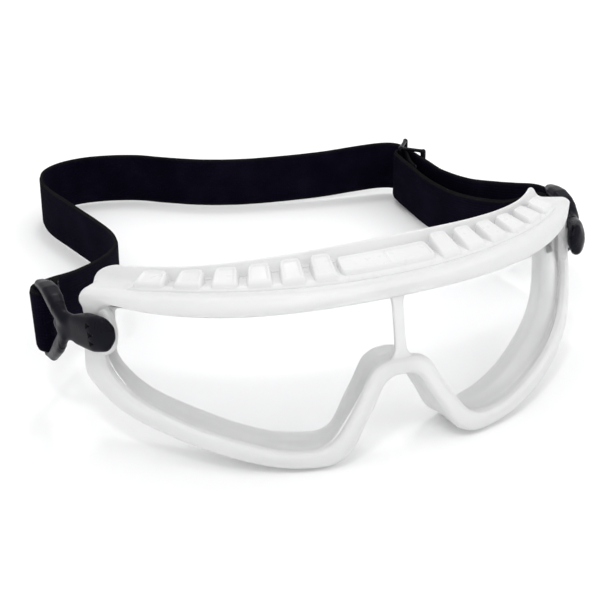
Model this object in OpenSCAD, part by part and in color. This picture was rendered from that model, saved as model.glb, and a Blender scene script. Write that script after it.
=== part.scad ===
// Wraparound safety goggles with an elastic headband on swivel clips.
// Millimetres. +Z up, the wearer looks towards -Y, +X is the side of the adjusting slider.
// The goggles stand as they do on a table: on the lower rim, leaning back a little.

/* [Frame] */
// How far the goggles lean back as they rest on a table, degrees
lean = 11.7; // [8:0.1:13]
// Wall thickness of the soft moulding
wall = 1.8; // [1.6:0.1:2.0]
// Proud thickness of the brow band in front of the lens
brow_proud = 1.8; // [1.2:0.1:2.2]
// Width of the centre strut
strut_w = 3.4; // [3:0.1:5]

/* [Lens] */
// Thickness of the lens
lens_t = 1.6; // [1.2:0.1:2.0]

/* [Vent hoods] */
// Number of vent hoods on each side of the plaque
hoods = 6; // [4:1:6]
// Distance between hoods along the brow
hood_pitch = 10; // [9:0.5:10]
// Width of a hood
hood_w = 7.2; // [6:0.1:8]

/* [Clips] */
// Radius of the pivot stud's shank
stud_r = 2.5; // [2:0.1:2.8]
// Running clearance of the clip on its stud, on the radius
stud_clear = 0.05; // [0.02:0.01:0.1]
// Radius of the bar that the headband loops round
bar_r = 1.4; // [1.2:0.1:1.5]

/* [Headband] */
// Width of the elastic webbing
band_w = 20.5; // [19:0.5:20.5]
// Thickness of the elastic webbing
band_t = 1.5; // [1.2:0.1:1.6]

/* [Hidden] */

// where the goggles' own frame stands on the table
off_x = -0.2;
off_y = -111.85;
lift = 1.35;
module rest() translate([off_x, off_y, lift]) rotate([-lean, 0, 0]) children();
module side(s) { if (s > 0) children(); else mirror([1, 0, 0]) children(); }

// ---- the wraparound front surface, in the goggles' own frame ----
function fy(u) = let (q = pow(u / 50, 2)) 8.53 * q + 1.66 * q * q + 0.152 * q * q * q;
function fs(u) = let (x = u / 50) (2 * 8.53 * x + 4 * 1.66 * pow(x, 3) + 6 * 0.152 * pow(x, 5)) / 50;
// a point at u across, z up and d behind the front surface
function surf(u, z, d) = let (s = fs(u), n = sqrt(1 + s * s)) [u - d * s / n, fy(u) + d / n, z];

// ---- smooth curves through a few control rows ----
function cr(a, b, c, d, t) = 0.5 * ((2 * b) + (c - a) * t + (2 * a - 5 * b + 4 * c - d) * t * t + (3 * b - a - 3 * c + d) * t * t * t);
function smooth_open(p, n) = let (m = len(p)) [
    for (i = [0 : m - 2], k = [0 : n - 1])
        cr(p[max(i - 1, 0)], p[i], p[i + 1], p[min(i + 2, m - 1)], k / n),
    p[m - 1]];
function smooth_loop(p, n) = let (m = len(p)) [
    for (i = [0 : m - 1], k = [0 : n - 1])
        cr(p[(i + m - 1) % m], p[i], p[(i + 1) % m], p[(i + 2) % m], k / n)];

// half outline of the frame, from the nose bridge under the lens, round the side, to the brow:
// outer edge u, z; lens-side edge u, z; depth; 0 for rim and 1 for brow
half = [
    [0, 25.2, 0, 30.8, 15, 0], [3.5, 24.8, 5, 30.6, 15, 0], [6.5, 22.6, 9.8, 28, 15.5, 0],
    [10, 16.5, 14.2, 20.5, 16, 0], [13.5, 11, 18, 14.6, 16.5, 0], [17, 5, 21.8, 9.4, 17, 0],
    [20, 2, 24.8, 6.9, 17, 0], [25, 0, 28.5, 5.5, 17.5, 0], [32, 0, 33, 5.5, 17.5, 0],
    [42, 1.6, 41.3, 7, 17, 0], [54, 5.6, 52.3, 11, 16, 0], [66, 10.9, 63.5, 16, 15, 0],
    [77, 17, 73.8, 22, 13.5, 0], [83, 22.5, 79, 27.2, 12.5, 0], [87, 30, 82, 32.6, 12, 0],
    [88, 38, 82.8, 39, 11.5, 0], [88.2, 46, 83, 45.5, 11, 0], [88.2, 52, 82.8, 50.8, 11, 0],
    [88.6, 56, 81, 54, 11, 0.5], [87, 59.2, 77.5, 54, 11.2, 1], [81, 59.6, 73, 53, 11.8, 1],
    [72, 59.5, 67, 52.2, 12.4, 1], [62, 59.2, 59.5, 51.5, 13.2, 1], [50, 58.7, 49, 50.9, 13.9, 1],
    [38, 58.1, 37.5, 50.7, 14.4, 1], [25, 57.5, 25, 50.6, 14.8, 1], [12, 57.1, 12, 50.6, 15, 1],
    [0, 57, 0, 50.6, 15, 1]];
full = concat(half, [for (i = [len(half) - 2 : -1 : 1]) let (r = half[i]) [-r[0], r[1], -r[2], r[3], r[4], r[5]]]);

// height of the rear ridge, and of the vent deck in front of it
function ridge_z(u) = let (q = pow(u * 0.88 / 50, 2)) 66 - 2.15 * q + 0.55 * q * q;
function deck_z(u) = ridge_z(u) - 5.2;

lip = 2.1;
function mixp(a, b, k) = a * (1 - k) + b * k;
// one cross section of the moulding: u, z, d for each corner
function section(r) = let (
    o = [r[0], r[1]], i = [r[2], r[3]], D = r[4], k = r[5], e = (o - i) / norm(o - i),
    rise = function (d) 3.7 * d / 18,
    b = [[i, 0.2], [i + 0.9 * e, -0.6], [o - 1.0 * e, -0.6], [o, 0.8], [o, D - 3], [o + 0.9 * e, D - 1.4],
         [o + 0.7 * e, D], [o - 2.6 * e, D + 0.2], [o - 2.6 * e, D - 1.4], [o - wall * e, D - 3.4],
         [o - wall * e, lip + 2.8], [o - wall * e, lip], [i, lip - 0.1]],
    kb = [for (p = b) [p[0][0], p[0][1] + rise(max(p[1], 0)), p[1]]],
    zr = ridge_z(o[0]), zd = deck_z(o[0]),
    kt = [[i[0], i[1], 0.2], [i[0], i[1] + 0.9, -brow_proud], [o[0], o[1] - 1.5, -brow_proud], [o[0], o[1] - 0.1, 0.1],
          [o[0], zd, D - 2.4], [o[0], zr - 0.2, D - 0.9], [o[0], zr - 0.3, D + 0.3], [o[0], i[1] + 3.4, D + 1.2],
          [o[0], i[1] + 3.4, D - 0.3], [o[0], zd - wall, D - 2.6], [o[0], o[1] - 2.3, lip + 1.2],
          [o[0], o[1] - 2.5, lip], [i[0], i[1], lip - 0.1]])
    [for (j = [0 : 12]) mixp(kb[j], kt[j], k)];

// closed tube from a loop of equal sections
module loop_solid(rings) {
    n = len(rings); m = len(rings[0]);
    polyhedron(points = [for (r = rings, p = r) surf(p[0], p[1], p[2])],
        faces = [for (i = [0 : n - 1], j = [0 : m - 1], t = [0, 1])
            let (a = i * m + j, b = i * m + (j + 1) % m, c = ((i + 1) % n) * m + (j + 1) % m, d = ((i + 1) % n) * m + j)
            t == 0 ? [a, c, b] : [a, d, c]], convexity = 10);
}
// closed bar from an open row of equal sections, points given in space
module bar_solid(rings) {
    n = len(rings); m = len(rings[0]);
    polyhedron(points = [for (r = rings, p = r) p],
        faces = concat(
            [for (i = [0 : n - 2], j = [0 : m - 1], t = [0, 1])
                let (a = i * m + j, b = i * m + (j + 1) % m, c = (i + 1) * m + (j + 1) % m, d = (i + 1) * m + j)
                t == 0 ? [a, b, c] : [a, c, d]],
            [[for (j = [m - 1 : -1 : 0]) j]], [[for (j = [0 : m - 1]) (n - 1) * m + j]]), convexity = 10);
}

// pivot of both swivel clips
piv_y = 38.5;
piv_z = 45.8;
boss_x = 84.4;
boss_r = 3.5;

module along_x(x0, x1, r, n = 48) translate([x0, piv_y, piv_z]) rotate([0, 90, 0]) cylinder(h = x1 - x0, r = r, $fn = n);

// ---- soft moulding: rim, walls, brow band, vent deck, face flange, centre strut, side bosses ----
module frame_shell() color([0.9, 0.91, 0.92, 0.6]) union() {
    difference() {
        rest() union() {
            loop_solid([for (r = smooth_loop(full, 3)) section(r)]);
            // centre strut, flared where it runs into the bridge and the brow
            translate([0, lip, 0]) rotate([90, 0, 0]) linear_extrude(lip - 0.3)
                polygon(concat(
                    [for (z = [29.5 : 1.5 : 53]) [strut_w / 2 + 5 * exp(-(z - 29.5) / 1.6) + 4 * exp((z - 53) / 1.4), z]],
                    [for (z = [53 : -1.5 : 29.5]) [-strut_w / 2 - 5 * exp(-(z - 29.5) / 1.6) - 4 * exp((z - 53) / 1.4), z]]));
            // side bosses that carry the pivot studs
            for (s = [-1, 1]) side(s) difference() {
                along_x(78.5, boss_x, boss_r, 32);
                // kept in front of the lens
                translate([81.3, 40.4, piv_z - 10]) rotate([0, 0, 147.3]) translate([0, -20, 0]) cube([10, 40, 20]);
            }
        }
        // holes for the studs
        rest() for (s = [-1, 1]) side(s) along_x(boss_x - 2.65, boss_x + 5, stud_r + 0.06);
        // the foot is flat where it stands
        translate([-150, -150, -20]) cube([300, 300, 20]);
    }
}

// ---- lens ----
// lower edge of the lens opening, and its upper edge
low_pts = [[0, 30.8], [5, 30.6], [9.8, 28], [14.2, 20.5], [18, 14.6], [21.8, 9.4], [24.8, 6.9], [28.5, 5.5],
           [33, 5.5], [41.3, 7], [52.3, 11], [63.5, 16], [73.8, 22], [79, 27.2], [82, 32.6], [84.4, 40]];
function lens_low(u) = lookup(abs(u), low_pts) - 1.6;
function lens_high(u) = let (q = pow(u / 50, 2)) min(50.6 - 0.35 * q + 0.5 * q * q + 1.8, 54);
module lens() color([0.85, 0.92, 0.95, 0.3]) rest() {
    d0 = lip + 0.25;
    bar_solid([for (i = [-36 : 36]) let (u = 84.2 * i / 36)
        [surf(u, lens_low(u), d0), surf(u, lens_high(u), d0), surf(u, lens_high(u), d0 + lens_t), surf(u, lens_low(u), d0 + lens_t)]]);
}

// ---- vent cover: a strip on the deck with hoods and a plain two-part plaque ----
function deck_at(u, d) = let (h = deck_z(u), D = 15 - 3.6 * pow(abs(u) / 86, 2), f = (d - 0.1) / (D - 2.5), z0 = 57 + 2.14 * pow(u / 50, 2) - 0.47 * pow(u / 50, 4)) z0 + (h - z0) * f;
module vent_cover() color([0.93, 0.94, 0.95, 0.7]) rest() union() {
    bar_solid([for (i = [26 : -1 : -26]) let (u = i * 3, D = 15 - 3.6 * pow(abs(u) / 86, 2)) [
        surf(u, deck_at(u, 2.5) + 0.35, 2.5), surf(u, deck_at(u, D - 3.6) + 0.35, D - 3.6),
        surf(u, deck_at(u, D - 3.6) + 1.15, D - 3.6), surf(u, deck_at(u, 2.5) + 1.0, 2.5)]]);
    for (s = [-1, 1], i = [0 : hoods - 1]) hood(s * (21.5 + hood_pitch * i), hood_w / 2);
    for (s = [-1, 1]) side(s) plaque();
}
module hood(u, w) {
    D = 15 - 3.6 * pow(abs(u) / 86, 2);
    bar_solid([for (q = [[1, 0.55], [0.7, 0.9], [0, 1], [-0.7, 0.9], [-1, 0.55]]) let (v = u + q[0] * w, f = q[1])
        [surf(v, deck_at(v, 3.4) + 0.7, 3.4), surf(v, deck_at(v, D - 4.1) + 0.8, D - 4.1), surf(v, deck_at(v, D - 4.3) + 1 + 1.2 * f, D - 4.3),
         surf(v, deck_at(v, D - 5.2) + 1 + 1.9 * f, D - 5.2), surf(v, deck_at(v, 3.6) + 0.9 + 0.5 * f, 3.6)]]);
}
module plaque()
    bar_solid([for (u = [16.4, 15.4, 8, 1.4, 0.6]) let (f = u < 1 || u > 16 ? 0.4 : 1)
        [surf(u, deck_at(u, 3.4) + 0.7, 3.4), surf(u, deck_at(u, 10.8) + 0.8, 10.8), surf(u, deck_at(u, 10.4) + 1 + f, 10.4),
         surf(u, deck_at(u, 3.8) + 0.9 + 0.4 * f, 3.8)]]);

// ---- pivot studs ----
module pivot_stud(s) color([0.86, 0.87, 0.88]) rest() side(s) {
    along_x(boss_x - 2.6, boss_x + 2.3, stud_r, 64);
}
module left_pivot_stud() pivot_stud(-1);
module right_pivot_stud() pivot_stud(1);

// ---- swivel clips ----
bar_x = 94;
bar_y = 66.5;
bar_z0 = 33.6;
bar_z1 = 55.8;
module dot(x, y, z, r, n = 10) translate([x, y, z]) sphere(r = r, $fn = n);
module swivel_clip(s) color([0.06, 0.06, 0.09]) rest() side(s) difference() {
    union() {
        hull() { // head
            along_x(boss_x + 0.35, boss_x + 1.6, 7.2, 24);
            along_x(86.4, 87.4, 5.0, 20);
            for (q = [-1, 1]) { dot(80.4, 31.3, piv_z + q * 3.2, 1.1); dot(84.0, 33.2, piv_z + q * 3.4, 1.7); dot(89.6, 43.6, piv_z + q * 3.6, 1.2); }
        }
        hull() for (q = [-1, 1]) { // neck
            dot(88.0, 41.5 + 0.2 * q, piv_z + q * 3.8, 1.6 - 0.1 * q);
            dot(92.6, 52 + 0.15 * q, piv_z - 1.0 + q * 3.4, 1.45 + 0.1 * q);
        }
        hull() { // upper arm
            dot(92.6, 51.7, piv_z + 2.3, 1.3); dot(92.6, 50.7, piv_z - 1.3, 1.3);
            dot(94.6, 58.2, piv_z + 9.6, 1.5); dot(93.6, 57.6, piv_z + 7.2, 1.3);
        }
        hull() { dot(94.6, 58.0, piv_z + 9.7, 1.4); dot(93.6, 58.4, piv_z + 9.9, 1.2); dot(bar_x, bar_y, bar_z1 + 1.1, 1.6); dot(bar_x, bar_y - 4, bar_z1 + 1.2, 1.4); }
        hull() { // lower arm and foot
            dot(92.6, 51.7, piv_z - 4.0, 1.3); dot(92.6, 51.2, piv_z - 0.8, 1.3);
            dot(94.0, 58.6, piv_z - 12.3, 1.4); dot(93.6, 57.0, piv_z - 9.8, 1.3);
        }
        hull() { dot(94.0, 58.4, piv_z - 12.8, 1.2); dot(bar_x, bar_y, bar_z0 - 1.6, 1.5); dot(bar_x, bar_y - 3, bar_z0 - 2.1, 1.3); }
        translate([bar_x, bar_y, bar_z0 - 0.8]) cylinder(h = bar_z1 - bar_z0 + 1.6, r = bar_r, $fn = 48);
    }
    // blind bore for the stud
    along_x(boss_x - 10, boss_x + 2.5, stud_r + stud_clear, 64);
    // room for the frame round the pivot as the clip swings, except straight in front of it
    difference() {
        translate([70, piv_y, piv_z]) rotate([0, 90, 0]) cylinder(h = 20.3, r = 20, $fn = 12);
        translate([boss_x + 1.0, piv_y, piv_z]) rotate([0, 90, 0]) cylinder(h = 5.1, r1 = 2.7, r2 = 8.7, $fn = 12);
        translate([60, 0, 0]) rotate([90, 0, 90]) linear_extrude(40) polygon([[piv_y - 0.1, piv_z], [piv_y - 30.1, piv_z + 21], [piv_y - 30.1, piv_z - 21]]);
    }
    // room in front of the rim
    translate([0, 0, piv_z - 12]) linear_extrude(24)
        polygon([[74, 24], [79.0, 30.3], [80.2, 31.9], [82.2, 34.2], [boss_x + 0.35, 34.4], [boss_x + 0.35, 46], [74, 46]]);
    // three small triangular recesses in the outer face
    for (z = [-3, 0, 3]) translate([86.6, 36.4, piv_z + z]) rotate([0, 90, -38]) translate([0, 0, -0.9]) cylinder(h = 3, r = 0.8, $fn = 3);
}
module left_swivel_clip() swivel_clip(-1);
module right_swivel_clip() swivel_clip(1);

// ---- elastic headband ----
// where the bars stand once the goggles lean: foot and top of the webbing there
cl = cos(lean); sl = sin(lean);
bar_c = [bar_x, bar_y * cl + (bar_z0 + bar_z1) / 2 * sl, -bar_y * sl + (bar_z0 + bar_z1) / 2 * cl + lift];
lean_y = band_w * sl;
loop_r = bar_r + 0.35 + band_t / 2;
// route of the webbing: x, y, top edge z, share of the bar's lean
zt = bar_c[2] + band_w / 2 * cl;
arc_l = [for (a = [30 : 30 : 180]) [-bar_x + loop_r * cos(a), bar_c[1] - loop_r * sin(a), zt, 1]];
arc_r = [for (a = [30 : 30 : 150]) [bar_x + loop_r * cos(a), bar_c[1] - loop_r * sin(a), zt, 1]];
route = [
    [-96.5, 77, 40.8, 1], [-93.5, 82.5, 39.3, 1], [-86, 89.5, 37, 0.8], [-78, 97, 34, 0.6], [-70, 106, 31, 0.4], [-62, 117, 27.5, 0.2],
    [-55.5, 127, 25, 0.1], [-51, 137, 23, 0], [-49.5, 148, 21.5, 0], [-51, 160, 20.8, 0], [-54, 172, 20.8, 0], [-57, 184, 20.8, 0],
    [-60, 196, 20.8, 0], [-60.5, 206, 20.8, 0], [-58, 214, 20.8, 0], [-51, 219.5, 20.8, 0], [-41, 221.5, 20.8, 0], [-30, 220, 20.8, 0],
    [-18, 215.5, 20.8, 0], [-8, 208.5, 20.8, 0], [5, 200.5, 20.8, 0], [20, 194.5, 20.8, 0], [36, 190.5, 21, 0], [53, 187, 21.5, 0],
    [67, 185, 22.3, 0], [78, 183.6, 22.6, 0], [84.4, 180.8, 22.6, 0], [86.4, 175, 22.6, 0], [87.2, 168, 22.6, 0], [88.3, 158, 22.6, 0], [89.4, 148, 22.6, 0],
    [92, 132, 25, 0], [94.4, 116, 29.5, 0.3], [96, 102, 34, 0.6], [96.9, 89, 38.3, 1], [96.6, 78, 40.8, 1]];
back = [
    [91.4, 78, 40.6, 1], [89.8, 86, 36, 0.8], [88, 95, 31.2, 0.6], [86, 105, 28, 0.4], [83.8, 117, 25, 0.2], [82, 130, 22.8, 0],
    [80.8, 145, 21.8, 0], [80.1, 157, 22.4, 0], [79.9, 165, 22.6, 0]];
eye_c = [82.5, 172];
eye_r = 1.2 + 0.35 + band_t / 2;
flap = [[84.4, 169.4, 22.6, 0], [83.0, 165.4, 22.6, 0], [82.0, 161.6, 22.5, 0], [81.8, 158, 22.3, 0]];
left_fold = [[-91.4, 74.9, 41.4, 1], [-91.4, 78.5, 40.6, 1], [-90.8, 81.6, 39.7, 1], [-88.5, 84.9, 38.4, 0.9], [-84.7, 88.2, 37, 0.8]];

// webbing swept along a route
module webbing(p, t) {
    n = len(p);
    bar_solid([for (i = [0 : n - 1]) let (
        a = p[max(i - 1, 0)], b = p[min(i + 1, n - 1)],
        g = [b[0] - a[0], b[1] - a[1]], h = g / norm(g), w = [h[1], -h[0]] * t / 2,
        lo = [p[i][0], p[i][1] - p[i][3] * lean_y / 2, p[i][2] - band_w * (1 - p[i][3] * (1 - cl))],
        hi = [p[i][0], p[i][1] + p[i][3] * lean_y / 2, p[i][2]])
        [[lo[0] - w[0], lo[1] - w[1], lo[2]], [lo[0] + w[0], lo[1] + w[1], lo[2]],
         [hi[0] + w[0], hi[1] + w[1], hi[2]], [hi[0] - w[0], hi[1] - w[1], hi[2]]]]);
}
module headband_strap() color([0.05, 0.05, 0.09]) {
    translate([off_x, off_y, 0]) webbing(concat([for (i = [len(arc_l) - 2 : -1 : 0]) arc_l[len(arc_l) - 2 - i]], smooth_open(route, 2), [for (i = [0 : len(arc_r) - 1]) arc_r[i]]), band_t);
}
module headband_left_end() color([0.05, 0.05, 0.09])
    translate([off_x, off_y, 0]) webbing(smooth_open(left_fold, 2), band_t);
module headband_return() color([0.05, 0.05, 0.09])
    translate([off_x, off_y, 0]) webbing(concat(smooth_open(back, 2),
        [for (a = [180 : -30 : 0]) [eye_c[0] + eye_r * cos(a), eye_c[1] + eye_r * sin(a), 22.6, 0]], smooth_open(flap, 2)), band_t);
// a tack of two rows of thread across the webbing at point c, lying on the side that n points to
module tack(c, n, zc, shift) {
    h = n / norm(n);
    for (r = [-1, 1], k = [-4 : 4])
        translate([off_x + c[0] + h[0] * (band_t / 2 + 0.03) + r * h[1] * 1.6, off_y + c[1] + h[1] * (band_t / 2 + 0.03) - r * h[0] * 1.6 + shift * k, zc + k * 2])
            rotate([0, 0, atan2(h[1], h[0])]) rotate([r * 25, 0, 0]) translate([0, -0.3, -0.8]) cube([0.3, 0.6, 1.6]);
}
module left_end_stitches() color([0.1, 0.1, 0.14]) tack([-87.3, 87.3], [0.78, -0.62], 27.2, 0.33);
module return_end_stitches() color([0.1, 0.1, 0.14]) tack([81.85, 160], [1, 0.05], 12.3, 0);

// ---- three-bar slider on the webbing ----
module adjusting_slider() color([0.05, 0.05, 0.07]) translate([off_x, off_y, 0]) {
    posts = [[88.6, 178.2], [90.2, 165.6]];
    for (p = posts) translate([p[0], p[1], 0.3]) cylinder(h = 24.2, r = 1.2, $fn = 32);
    translate([eye_c[0], eye_c[1], 0.3]) cylinder(h = 24.2, r = 1.2, $fn = 32);
    for (z = [0.3, 23.0]) translate([0, 0, z]) linear_extrude(1.5) hull() {
        for (p = posts) translate(p) circle(r = 1.2, $fn = 32);
        translate(eye_c) circle(r = 1.2, $fn = 32);
    }
}

frame_shell();
vent_cover();
lens();
left_pivot_stud();
right_pivot_stud();
left_swivel_clip();
right_swivel_clip();
headband_strap();
headband_left_end();
headband_return();
left_end_stitches();
return_end_stitches();
adjusting_slider();
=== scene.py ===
import math
import random

import bmesh
import bpy
import numpy as np
from mathutils import Matrix, Vector


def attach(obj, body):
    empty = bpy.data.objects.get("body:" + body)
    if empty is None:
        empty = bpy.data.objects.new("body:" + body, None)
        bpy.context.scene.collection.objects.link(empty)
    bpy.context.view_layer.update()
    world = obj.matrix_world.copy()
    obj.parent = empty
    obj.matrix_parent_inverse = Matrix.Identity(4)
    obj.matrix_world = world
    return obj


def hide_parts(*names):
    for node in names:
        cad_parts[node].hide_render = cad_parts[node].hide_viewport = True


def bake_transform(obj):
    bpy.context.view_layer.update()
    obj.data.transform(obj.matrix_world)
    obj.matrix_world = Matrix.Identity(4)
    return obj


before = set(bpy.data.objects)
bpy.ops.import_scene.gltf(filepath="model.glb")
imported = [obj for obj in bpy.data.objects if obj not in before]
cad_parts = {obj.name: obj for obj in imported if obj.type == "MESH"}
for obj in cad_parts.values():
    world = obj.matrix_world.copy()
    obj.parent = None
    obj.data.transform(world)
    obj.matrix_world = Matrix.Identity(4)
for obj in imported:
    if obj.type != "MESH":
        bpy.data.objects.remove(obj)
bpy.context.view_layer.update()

random.seed(7)
scene = bpy.context.scene
coll = scene.collection

# ------------------------------------------------------------------ camera
cam_data = bpy.data.cameras.new("cam")
cam_data.sensor_width = 36.0
cam_data.lens = 93.29
cam_data.clip_start = 0.02
cam_data.clip_end = 20.0
cam = bpy.data.objects.new("cam", cam_data)
coll.objects.link(cam)
look = Vector((0.3485035, 0.8099198, -0.4717789))
cam.location = (-0.191357, -0.470549, 0.271561)
cam.rotation_euler = look.to_track_quat("-Z", "Y").to_euler()
scene.camera = cam

# ------------------------------------------------------------------ the goggles' own frame and front surface
LEAN = math.radians(11.7)
CL, SL = math.cos(LEAN), math.sin(LEAN)
OFF = np.array([-0.2, -111.85, 1.35])


def rest(p):
    """Goggles' own frame, mm, to the row frame, m."""
    p = np.asarray(p, float)
    x, y, z = p[..., 0], p[..., 1], p[..., 2]
    return np.stack([x + OFF[0], y * CL + z * SL + OFF[1], -y * SL + z * CL + OFF[2]], -1) / 1000.0


def table(p):
    """Table frame of the webbing, mm, to the row frame, m."""
    p = np.asarray(p, float)
    return np.stack([p[..., 0] + OFF[0], p[..., 1] + OFF[1], p[..., 2]], -1) / 1000.0


def fy(u):
    q = (np.asarray(u, float) / 50.0) ** 2
    return 8.53 * q + 1.66 * q * q + 0.152 * q ** 3


def fs(u):
    x = np.asarray(u, float) / 50.0
    return (2 * 8.53 * x + 4 * 1.66 * x ** 3 + 6 * 0.152 * x ** 5) / 50.0


def surf(u, z, d):
    """u across, z up, d behind the front surface."""
    s = fs(u)
    n = np.sqrt(1 + s * s)
    u, z, d = np.broadcast_arrays(np.asarray(u, float), np.asarray(z, float), np.asarray(d, float))
    return np.stack([u - d * s / n, fy(u) + d / n, z], -1)


def cr(a, b, c, d, t):
    return 0.5 * ((2 * b) + (c - a) * t + (2 * a - 5 * b + 4 * c - d) * t * t + (3 * b - a - 3 * c + d) * t ** 3)


def smooth_open(p, n):
    p = np.asarray(p, float)
    m = len(p)
    out = []
    for i in range(m - 1):
        for k in range(n):
            out.append(cr(p[max(i - 1, 0)], p[i], p[i + 1], p[min(i + 2, m - 1)], k / n))
    out.append(p[-1])
    return np.array(out)


def smooth_loop(p, n):
    p = np.asarray(p, float)
    m = len(p)
    return np.array([cr(p[i - 1], p[i], p[(i + 1) % m], p[(i + 2) % m], k / n) for i in range(m) for k in range(n)])


# outer edge u, z; lens-side edge u, z; depth; 0 for rim and 1 for brow
HALF = [
    [0, 25.2, 0, 30.8, 15, 0], [3.5, 24.8, 5, 30.6, 15, 0], [6.5, 22.6, 9.8, 28, 15.5, 0],
    [10, 16.5, 14.2, 20.5, 16, 0], [13.5, 11, 18, 14.6, 16.5, 0], [17, 5, 21.8, 9.4, 17, 0],
    [20, 2, 24.8, 6.9, 17, 0], [25, 0, 28.5, 5.5, 17.5, 0], [32, 0, 33, 5.5, 17.5, 0],
    [42, 1.6, 41.3, 7, 17, 0], [54, 5.6, 52.3, 11, 16, 0], [66, 10.9, 63.5, 16, 15, 0],
    [77, 17, 73.8, 22, 13.5, 0], [83, 22.5, 79, 27.2, 12.5, 0], [87.5, 30, 82, 32.6, 12, 0],
    [87.6, 38, 82.8, 39, 11.5, 0], [86.9, 46, 82.8, 45.5, 11, 0], [86.9, 52, 82.4, 50.8, 11, 0],
    [87.0, 56, 80.6, 54, 11, 0.5], [85.2, 59.3, 77.5, 54, 11.2, 1], [81, 59.6, 73, 53, 11.8, 1],
    [72, 59.5, 67, 52.2, 12.4, 1], [62, 59.2, 59.5, 51.5, 13.2, 1], [50, 58.7, 49, 50.9, 13.9, 1],
    [38, 58.1, 37.5, 50.7, 14.4, 1], [25, 57.5, 25, 50.6, 14.8, 1], [12, 57.1, 12, 50.6, 15, 1],
    [0, 57, 0, 50.6, 15, 1]]
FULL = HALF + [[-r[0], r[1], -r[2], r[3], r[4], r[5]] for r in HALF[-2:0:-1]]


def ridge_z(u):
    q = (np.asarray(u, float) * 0.88 / 50) ** 2
    return 66 - 2.15 * q + 0.55 * q * q


def deck_z(u):
    return ridge_z(u) - 5.2


WALL, LIP, PROUD = 1.8, 2.1, 1.8


def section(r):
    o, i = np.array([r[0], r[1]]), np.array([r[2], r[3]])
    D, k = r[4], r[5]
    e = (o - i) / np.linalg.norm(o - i)
    b = [(i, 0.2), (i + 0.9 * e, -0.6), (o - 1.0 * e, -0.6), (o, 0.8), (o, D - 3), (o + 0.9 * e, D - 1.4),
         (o + 0.7 * e, D), (o - 2.6 * e, D + 0.2), (o - 2.6 * e, D - 1.4), (o - WALL * e, D - 3.4),
         (o - WALL * e, LIP + 2.8), (o - WALL * e, LIP), (i, LIP - 0.1)]
    kb = np.array([[p[0], p[1] + 3.7 / 18 * max(d, 0), d] for p, d in b])
    # the rear ridge rounds down where it runs out over the clips
    au = abs(o[0]) + 2.4 * min(max((abs(o[0]) - 76) / 9, 0), 1)
    fall = 1 - min(max((au - 82.3) / 6.6, 0), 1) ** 2
    zr = o[1] + (ridge_z(o[0]) - o[1]) * fall
    zd = o[1] + (deck_z(o[0]) - o[1]) * fall
    uo = math.copysign(au, o[0]) if o[0] else 0.0
    us_ = [o[0], o[0] + (uo - o[0]) * 0.35, uo]
    kt = np.array([[i[0], i[1], 0.2], [i[0], i[1] + 0.9, -PROUD], [o[0], o[1] - 1.5, -PROUD], [o[0], o[1] - 0.1, 0.1],
                   [us_[1], zd, D - 2.4], [us_[2], zr - 0.2, D - 0.9], [us_[2], zr - 0.3, D + 0.3], [us_[2], i[1] + 3.4, D + 1.2],
                   [us_[1], i[1] + 3.4, D - 0.3], [us_[1], max(zd - WALL, i[1] + 3.6), D - 2.6], [o[0], o[1] - 2.3, LIP + 1.2],
                   [o[0], o[1] - 2.5, LIP], [i[0], i[1], LIP - 0.1]])
    return kb * (1 - k) + kt * k


def round_section(p, radii, steps=5):
    """Rounds the corners of a closed section given as u, z, d rows, with a support point at each end of each flat."""
    n = len(p)
    cuts = []
    for j in range(n):
        a, b, c = p[j - 1], p[j], p[(j + 1) % n]
        la, lc = np.linalg.norm(a - b), np.linalg.norm(c - b)
        r = radii[j]
        cuts.append((b + (a - b) / max(la, 1e-9) * min(r, 0.47 * la), b, b + (c - b) / max(lc, 1e-9) * min(r, 0.47 * lc)))
    out = []
    for j in range(n):
        s, b, t = cuts[j]
        for q in range(steps):
            f = q / (steps - 1)
            out.append(s * (1 - f) ** 2 + 2 * b * f * (1 - f) + t * f * f)
        nx = cuts[(j + 1) % n][0]
        L = np.linalg.norm(nx - t)
        k = min(0.22 / max(L, 1e-6), 0.3)
        out.append(t * (1 - k) + nx * k)
        out.append(t * k + nx * (1 - k))
    return np.array(out)


# ------------------------------------------------------------------ mesh helpers
def make(name, verts, faces, smooth=True, uvs=None):
    me = bpy.data.meshes.new(name)
    me.from_pydata([tuple(v) for v in verts], [], [tuple(f) for f in faces])
    if uvs is not None:
        lay = me.uv_layers.new(name="UVMap")
        li = np.zeros(len(me.loops), np.int64)
        me.loops.foreach_get("vertex_index", li)
        lay.data.foreach_set("uv", np.asarray(uvs, np.float32)[li].ravel())
    me.validate()
    bm = bmesh.new()
    bm.from_mesh(me)
    bmesh.ops.recalc_face_normals(bm, faces=bm.faces)
    bm.to_mesh(me)
    bm.free()
    if smooth:
        me.polygons.foreach_set("use_smooth", [True] * len(me.polygons))
    ob = bpy.data.objects.new(name, me)
    coll.objects.link(ob)
    return ob


def tube_faces(n, m, closed_long, closed_round=True, base=0):
    f = []
    for i in range(n if closed_long else n - 1):
        for j in range(m if closed_round else m - 1):
            f.append((base + i * m + j, base + i * m + (j + 1) % m, base + ((i + 1) % n) * m + (j + 1) % m, base + ((i + 1) % n) * m + j))
    return f


def apply_mods(ob):
    bpy.context.view_layer.update()
    dg = bpy.context.evaluated_depsgraph_get()
    me = bpy.data.meshes.new_from_object(ob.evaluated_get(dg), preserve_all_data_layers=True, depsgraph=dg)
    old = ob.data
    ob.modifiers.clear()
    ob.data = me
    bpy.data.meshes.remove(old)
    return ob


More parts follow.
